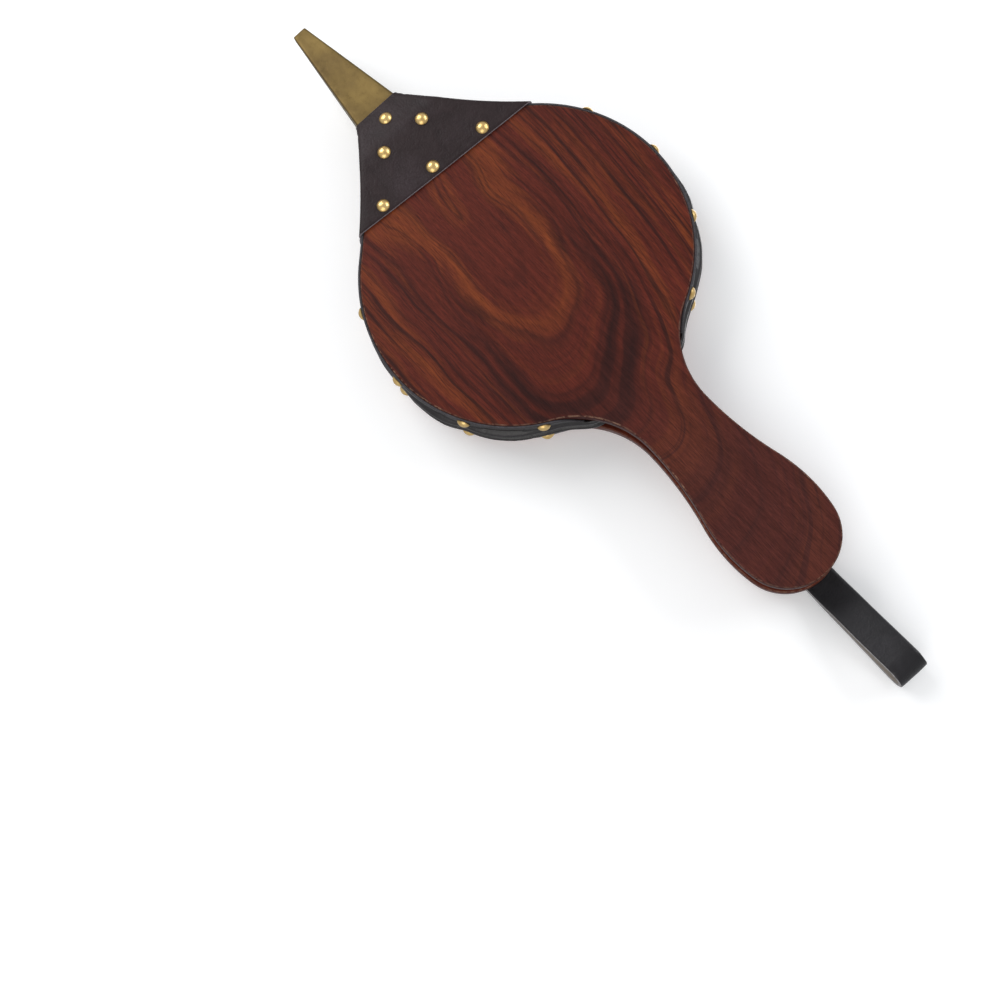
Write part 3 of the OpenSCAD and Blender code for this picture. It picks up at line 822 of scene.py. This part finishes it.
def collar_row(x):
    """Mid-surface points round the collar at a station: back centre, +Y side, front, -Y side."""
    lip = smooth((x - NOSE_X)/COLLAR_LIP)
    drop = max(0.0, x - DROP_X)*DROP_SLOPE
    # The lip is drawn in until it hugs the nozzle
    _, nozzle_w, nozzle_h = along_nozzle(x)
    wide = between(half_width(min(x, NOSE_X), ON_SIDE), nozzle_w + LIP_OFF, lip)
    low = between(drop - ON_FACE, MID_Z - nozzle_h - LIP_OFF, lip)
    high = STACK - low
    r = COLLAR_BEND_R
    side_low = low + r
    # Behind the back band the sides end as skirts that shorten towards the rear
    if x < COLLAR_BACK_X - 1e-6:
        side_low = between(SKIRT_LOW_Z, SKIRT_HIGH_Z, smooth((COLLAR_BACK_X - x)/SKIRT_RUN))
    bend = [radians(a) for a in (0, 22, 45, 68, 90)]
    half = [(wide*f, low) for f in (0.0, 0.25, 0.5, 0.75)]
    half += [(wide - r + r*sin(a), low + r - r*cos(a)) for a in bend[:-1]]
    half += [(wide, between(side_low, high - r, k/9)) for k in range(10)]
    half += [(wide - r + r*cos(a), high - r + r*sin(a)) for a in bend[1:]]
    half += [((wide - r)*(1 - k/13), high) for k in range(1, 13)]
    return half + [(0.0, high)] + [(-y, z) for y, z in half[:0:-1]]


def collar_grid():
    """Rows from the front lip back to the skewed rear edge, and the back band's last row."""
    ahead = [NOSE_X + COLLAR_LIP - LIP_STEP*k for k in range(round(COLLAR_LIP/LIP_STEP) + 1)]
    band_rows = round((NOSE_X - COLLAR_BACK_X)/COLLAR_STEP)
    ahead += [NOSE_X - COLLAR_STEP*k for k in range(1, band_rows + 1)]
    rows = [[(x, *p) for p in collar_row(x)] for x in ahead]
    for k in range(1, SKIRT_ROWS + 1):
        t = k/SKIRT_ROWS
        row = []
        for i, (y, _) in enumerate(collar_row(between(COLLAR_BACK_X, COLLAR_FRONT_X, t))):
            x = between(COLLAR_BACK_X, COLLAR_FRONT_X + y*COLLAR_SKEW, t)
            row.append((x, *collar_row(x)[i]))
        rows.append(row)
    return rows, len(ahead) - 1


def settle(x, y, z):
    """Lets the collar lie a little unevenly, with skirts that stand off towards their corners."""
    soft = 0.16*wobble(x*0.045, y*0.045, z*0.05, 2) + 0.07*wobble(x*0.16, y*0.16, z*0.1, 5)
    if z > STACK - 5:
        z += max(-0.05, 0.10 + soft)
    elif z < 0.5:
        z -= max(-0.05, 0.05 + soft)
    elif abs(y) > 10:
        flare = SKIRT_FLARE*smooth((98 - x)/16)*smooth((STACK - 1 - z)/10)
        y += copysign(max(0.0, 0.12 + soft) + flare, y)
    return x, y, z


collar_rows, back_row = collar_grid()
collar_points = np.array([[settle(*p) for p in row] for row in collar_rows])
ring_count = collar_points.shape[1]


def collar_used(i, j):
    return i < back_row or BACK_COLUMNS <= j < ring_count - BACK_COLUMNS


collar = shell("collar_leather_sleeve", collar_points, collar_used, True, LEATHER_T,
               [collar_face, dark_suede, dark_edge])


# ---- Gusset ----
GUSSET_START_X, TURN_X, WEB_X = 110.0, -83.0, -88.6
GUSSET_OFF, WEB_EASE, WEB_PARTS = 0.75, 6.5, 8
FLAP_END_X, FLAP_Z, BARE_Z = -86.0, 0.9, 8.35      # the flap on the edge ends before the web
ROOT_Z = 7.6      # where the leather leaves the board's edge
CLOSED_X, OPEN_X = 90.0, 45.0      # the fold grows from nothing between these stations


def gusset_line():
    """(x, y, normal x, normal y) along the leather's line, from its front end on the +Y side
    round the neck's web to its front end on the -Y side."""
    side = []
    for x, y, a in HALF:
        if TURN_X <= x <= GUSSET_START_X:
            nx, ny = cos(a), sin(a)
            side.append((x + GUSSET_OFF*nx, y + GUSSET_OFF*ny, nx, ny))
    x, y, nx, ny = side[-1]
    start, ahead = Vector((x, y)), Vector((-ny, nx))
    corner = start + ahead*((WEB_X - x)/ahead.x)
    end = Vector((WEB_X, corner.y - WEB_EASE))
    bend = []
    for k in range(1, WEB_PARTS + 1):
        t = k/WEB_PARTS
        p = start*(1 - t)**2 + corner*2*t*(1 - t) + end*t*t
        tangent = ((corner - start)*(1 - t) + (end - corner)*t).normalized()
        bend.append((p.x, p.y, tangent.y, -tangent.x))
    web = [(WEB_X, end.y*(1 - k/WEB_PARTS), -1.0, 0.0) for k in range(1, WEB_PARTS + 1)]
    half = side + bend + web
    return half + [(x, -y, nx, -ny) for x, y, nx, ny in half[-2::-1]]


def edge_stud_runs():
    """Places of the edge studs along the half outline: on the front board, on the back board."""
    first, last = run_at(COLLAR_FRONT_X + 3.0), run_at(-70.0)
    shared = [between(first, last, i/4) for i in range(1, 5)]
    return shared, [run_at(COLLAR_BACK_X - 5.5), first] + shared


FRONT_RUNS, BACK_RUNS = edge_stud_runs()
STUD_XS = [edge_at(r)[0] for r in FRONT_RUNS]


def gusset_section(x, y, nx, ny):
    """Mid-surface points of the leather across its width at one place on its line: a flap on
    the back board's edge, a lip, a fold inwards between the boards, and the same mirrored."""
    fold = smooth((CLOSED_X - x)/(CLOSED_X - OPEN_X))
    flap = smooth((x + 86.5)/15.0) if x >= FLAP_END_X else 0.0
    # How far the lip stands out: most towards the rear, drawn in at the studs
    pinch = min([abs(x - s) for s in STUD_XS] + [40.0])
    bulge = 0.25 + 0.7*smooth((70 - x)/50) + 2.1*smooth((12 - x)/45)*smooth((x + 90)/26)
    bulge *= between(0.62, 1.0, smooth(pinch/13))
    bulge += (0.25*wobble(x*0.035, y*0.035, 0, 3) + 0.16*wobble(x*0.11, y*0.11, 0, 6))*fold
    bulge *= fold if x > 20 else 1.0
    # How far the fold's inner crease lies from the edge: deeper towards the rear
    inner = Vector((24*smooth((-30 - x)/58), -y*0.34*smooth((95 - x)/150)))
    out = Vector((nx, ny))
    start_z = between(BARE_Z, FLAP_Z, flap)
    rows = [(out*0.0, between(start_z, ROOT_Z, k/2) if flap > 0.02 else start_z + 0.05*k)
            for k in range(3)]
    for share, z in ((0.45, 8.5), (0.86, 9.4), (1.0, 10.3), (0.80, 11.2), (0.36, 11.8)):
        mouth = 1 - share if z > 10.3 else 0.0
        rows.append((out*(bulge*share) + inner*0.015*mouth*fold, z))
    for k in range(1, 7):
        t = k/6
        sag = 0.2*sin(pi*t)*wobble(x*0.05, y*0.05, t*2, 8)*fold
        z = between(11.9, MID_Z - 0.55, t**0.8) + sag
        rows.append((out*(bulge*0.12*(1 - t)) + inner*t, z))
    full = rows + [(inner*1.02, MID_Z)] + [(v, STACK - z) for v, z in rows[::-1]]
    return [(x + v.x, y + v.y, z) for v, z in full]


gusset_points = np.array([gusset_section(*p) for p in gusset_line()])
gusset = shell("gusset_leather_band", gusset_points, None, False, LEATHER_T,
               [gusset_face, dark_suede, black_edge])


# ---- Studs ----
def stud_profile(radius, height, shank):
    """A domed head with a thin rolled rim, and its shank with a short point."""
    ball = (radius**2 + height**2)/(2*height)
    profile = [(0.0, height)]
    for k in range(1, 11):
        r = radius*0.985*k/10
        profile.append((r, sqrt(ball**2 - r*r) - ball + height))
    profile += [(radius, 0.16), (radius*0.995, 0.05), (radius*0.97, 0.0), (radius*0.8, 0.0),
                (SHANK_R + 0.15, 0.0), (SHANK_R, -0.15), (SHANK_R, 1.6 - shank),
                (SHANK_R*0.55, 0.6 - shank), (0.0, -shank)]
    return profile


def studs(name, places, node, body, radius=STUD_R, height=STUD_H, shank=SHANK_L, seed=0):
    """One object with every stud of a CAD node. places are matrices in millimetres."""
    pick = random.Random(seed)
    profile = stud_profile(radius, height, shank)
    points, faces, wear_and_shade = [], [], []
    for i, place in enumerate(places):
        tilt = Matrix.Rotation(radians(pick.uniform(-1.6, 1.6)), 4, "X")
        spin = Matrix.Rotation(pick.uniform(0, tau), 4, "Z")
        p, f = lathe(profile, 40, place @ tilt @ spin, 0.035, seed + i)
        faces += [[k + len(points) for k in face] for face in f]
        points += p
        rings = [1] + [40]*(len(profile) - 2) + [1]
        for (r, h), n in zip(profile, rings):
            # Each head's rim is marked for darkening: painted contact shade where it meets the leather,
            # with some grime; the hidden shank gets a little
            shade_and_grime = smooth((r/radius - 0.86)/0.14)*(0.9 if h > 0.1 else 1.0)
            wear_and_shade += [shade_and_grime if h > -0.1 else 0.3]*n
    obj = outward(make(name, [tuple(p) for p in points], faces, [stud_brass], wear_and_shade=wear_and_shade,
                       sharp_deg=50))
    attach(obj, body)
    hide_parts(node)
    return obj


def on_edge(runs, z, away):
    """Places of studs driven into a board's edge, on both sides, at lengths along its outline."""
    places = []
    for run in runs:
        for side in (1, -1):
            x, y, a = edge_at(run)
            z_axis = Vector((cos(a), side*sin(a), 0))
            x_axis = Vector((0, 0, -1))
            at = Vector((x, side*y, z)) + z_axis*away
            places.append(placed(x_axis, z_axis.cross(x_axis), z_axis, at))
    return places


ON_TOP = STACK + STUD_SEAT
NOSE_PAIR_X, NOSE_PAIR_Y, NOSE_TOP_X = NOSE_X - 21.0, 14.5, NOSE_X - 5.0
ROW_X, ROW_PITCH = COLLAR_FRONT_X + 5.5, 36.0
STRAP_STUD_Z, STRAP_STUD_R, STRAP_STUD_H, STRAP_STUD_L = -4.5, 5.0, 3.0, 10.2
nose_studs = [Matrix.Translation((NOSE_PAIR_X, side*NOSE_PAIR_Y, ON_TOP)) for side in (1, -1)]
nose_studs.append(Matrix.Translation((NOSE_TOP_X, 0, STACK - (NOSE_TOP_X - DROP_X)*DROP_SLOPE))
                  @ Matrix.Rotation(atan(DROP_SLOPE), 4, "Y")
                  @ Matrix.Translation((0, 0, STUD_SEAT)))
row_studs = [Matrix.Translation((ROW_X + i*ROW_PITCH*COLLAR_SKEW, i*ROW_PITCH, ON_TOP))
             for i in (-1, 0, 1)]
side_studs = on_edge([run_at((COLLAR_BACK_X + NOSE_X)/2)], BOARD_T/2, COLLAR_SEAT)
back_studs = on_edge(BACK_RUNS, BOARD_T/2, STUD_SEAT)
front_studs = on_edge(FRONT_RUNS, FRONT_Z + BOARD_T/2, STUD_SEAT)
strap_stud = Matrix.Translation((-BULB_X, 0, STRAP_STUD_Z)) @ Matrix.Rotation(pi, 4, "X")
studs("studs_on_nose", nose_studs, "collar_block_studs", "base", seed=11)
studs("studs_on_front_row", row_studs, "collar_board_studs", "front", seed=21)
studs("studs_on_collar_sides", side_studs, "collar_side_studs", "base", seed=31)
studs("studs_on_back_edge", back_studs, "back_edge_studs", "base", seed=41)
studs("studs_on_front_edge", front_studs, "front_edge_studs", "front", seed=51)
studs("stud_on_strap", [strap_stud], "strap_stud", "base", STRAP_STUD_R, STRAP_STUD_H,
      STRAP_STUD_L, seed=61)


# ---- Strap: one strip, doubled under the handle and open as a loop behind it ----
TAB_X, JAW_X = -BULB_X + 10.0, -HANDLE_END - 4.0      # its ends, and where the two plies part
LOOP_REACH, LOOP_R, LOOP_Z = 70.0, 10.5, 3.0
UPPER_Z, LOWER_Z = -0.2 - STRAP_T/2, -0.25 - STRAP_T*1.5
FREE_X = -245.0      # behind here nothing presses the strap flat


def strap_line():
    """(x, z) along the strip's centre line, from one end at the stud round the loop to the other."""
    flat = [between(TAB_X, JAW_X, k/12) for k in range(13)]
    bend = Vector((-HANDLE_END - LOOP_REACH + LOOP_R, LOOP_Z))
    r = LOOP_R - STRAP_T/2
    upper, lower = Vector((JAW_X, UPPER_Z)), Vector((JAW_X, LOWER_Z))
    start = heading(bend - upper) - pi/2 + asin(r/(bend - upper).length)
    end = heading(bend - lower) + pi/2 - asin(r/(bend - lower).length)
    start %= tau
    end %= tau
    if end < start:
        end += tau
    turn = [bend + r*Vector((cos(a), sin(a)))
            for a in (between(start, end, k/28) for k in range(29))]
    line = [Vector((x, UPPER_Z)) for x in flat]
    line += [upper + (turn[0] - upper)*k/14 for k in range(1, 14)] + turn
    line += [turn[-1] + (lower - turn[-1])*k/14 for k in range(1, 14)]
    line += [Vector((x, LOWER_Z)) for x in reversed(flat)]
    # The leather doesn't kink where its two plies part
    for _ in range(4):
        line = [line[0]] + [(a + b*2 + c)/4 if abs(b.x - JAW_X) < 16 else b
                            for a, b, c in zip(line, line[1:], line[2:])] + [line[-1]]
    return line


def strap_grid():
    """Mid-surface points of the strip, with edges that curl a little and run unevenly."""
    rows = []
    line = strap_line()
    for i, p in enumerate(line):
        a, b = line[max(0, i - 1)], line[min(len(line) - 1, i + 1)]
        tangent = (b - a).normalized()
        curl = 0.25*smooth((FREE_X - p.x)/30)
        ripple = 0.06 if p.x < FREE_X else 0.018
        row = []
        for k in range(11):
            v = -1 + 0.2*k
            y = v*(STRAP_W/2 + 0.12*wobble(i*0.21, v, 0, 4)*abs(v))
            lift = curl*(v*v - 0.4) + ripple*wobble(i*0.3, v*1.4, 0, 9)
            row.append((p.x - tangent.y*lift, y, p.y + tangent.x*lift))
        rows.append(row)
    return rows


strap_points = np.array(strap_grid())
PLY_GAP = 0.06
strap = shell("strap_leather_strip", strap_points, None, False, STRAP_T - PLY_GAP,
              [grey_suede, strap_face, grey_edge], ease=0.3)
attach(strap, "hanger")
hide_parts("strap")

# ---- Valve flap ----
flap_r, flap_end, flap_t = INTAKE_R + 5.5, 27.0, 1.4
flap_z = BOARD_T + 0.15
flap_loop = [(flap_end, flap_r, radians(45)), (flap_end*0.66, flap_r, pi/2),
             (flap_end*0.33, flap_r, pi/2)]
flap_loop += [(flap_r*cos(a), flap_r*sin(a), a)
              for a in (pi/2 + pi*k/48 for k in range(49))]
flap_loop += [(x, -y, -a) for x, y, a in flap_loop[2::-1]]
flap = rounded_plate("valve_flap_leather", flap_loop, flap_z, flap_z + flap_t, 0.3, [flap_suede])
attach(flap, "valve")
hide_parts("valve_flap")

# ---- The collar and the gusset: their CAD nodes hidden, their meshes baked in place ----
# On the bellows, the collar bends about the saw cut, in the front board's outer face, and the gusset from
# board to board
for piece, node, slot, start, end in (
        (collar, "collar", "collar_leather", (0.1, 0, 0.029), (0.094, 0, 0.029)),
        (gusset, "gusset", "gusset_leather", (0, 0, 0.008), (0, 0, 0.021))):
    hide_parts(node)
    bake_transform(piece)

collar_area = sheet_area(collar_points, collar_used, True)
gusset_area = sheet_area(gusset_points, None, False)


# ---- Stage, lights and camera ----
FLOOR_Z, FLOOR_HALF = -8.0, 4000.0
SKY, SKY_STRENGTH = (0.95, 0.97, 1.0, 1), 0.52


def pale_floor():
    """Pale and a little bright of itself. Only what looks down on the floor sees it, so that
    light reaches the object from below too."""
    g = Nodes("pale_floor")
    matt = g.node("BsdfDiffuse", {"Color": (0.93, 0.93, 0.93)}).outputs[0]
    glow = g.node("Emission", {"Strength": 0.16}).outputs[0]
    lit = g.node("AddShader", {0: matt, 1: glow}).outputs[0]
    below = g.node("NewGeometry").outputs["Backfacing"]
    unseen = g.minus(1.0, g.node("LightPath").outputs["Is Camera Ray"])
    clear = g.node("BsdfTransparent").outputs[0]
    shader = g.node("MixShader", {0: g.maths("MAXIMUM", below, unseen), 1: lit, 2: clear})
    g.tree.links.new(shader.outputs[0], g.output.inputs["Surface"])
    return g.material


corners = [(x*FLOOR_HALF, y*FLOOR_HALF, FLOOR_Z) for x, y in ((-1, -1), (1, -1), (1, 1), (-1, 1))]
floor = make("floor", corners, [[0, 1, 2, 3]], [pale_floor()])

world = bpy.data.worlds.new("studio")
world.use_nodes = True
background = world.node_tree.nodes["Background"].inputs
background[0].default_value = SKY
background[1].default_value = SKY_STRENGTH
bpy.context.scene.world = world


def softbox(name, at, target, size, power, colour=(1, 1, 1)):
    """A soft rectangular lamp: places and sizes in metres, power in watts."""
    data = bpy.data.lights.new(name, "AREA")
    data.shape = "RECTANGLE"
    data.size, data.size_y = size
    data.energy = power
    data.color = colour
    obj = bpy.data.objects.new(name, data)
    obj.location = at
    obj.rotation_mode = "QUATERNION"
    obj.rotation_quaternion = (Vector(target) - Vector(at)).to_track_quat("-Z", "Y")
    add(obj)


softbox("key", (1.35, 0.25, 1.15), (0, 0, 0), (1.3, 1.3), 18)
softbox("fill", (-0.9, 1.1, 0.9), (-0.05, 0, 0), (1.3, 1.3), 8, (1.0, 0.98, 0.95))
softbox("under", (0.5, -0.6, -1.3), (-0.05, 0, 0), (1.5, 1.5), 16)
softbox("rim", (-0.35, -1.35, 0.75), (-0.05, 0, 0), (1.2, 0.7), 9, (0.94, 0.97, 1.0))

EYE, AIM = Vector((-0.2640, 0.1166, 0.8283)), Vector((-0.0797, 0.0996, 0.0))
UP = Vector((0.7203, -0.6714, 0.1740))
camera_data = bpy.data.cameras.new("camera")
camera_data.sensor_width = 36
camera_data.lens = 54
camera_data.clip_start = 0.01
camera = bpy.data.objects.new("camera", camera_data)
forward = (AIM - EYE).normalized()
right = forward.cross(UP).normalized()
camera.matrix_world = placed(right, right.cross(forward), -forward, EYE)
add(camera)
bpy.context.scene.camera = camera
bpy.context.scene.view_settings.view_transform = "Standard"
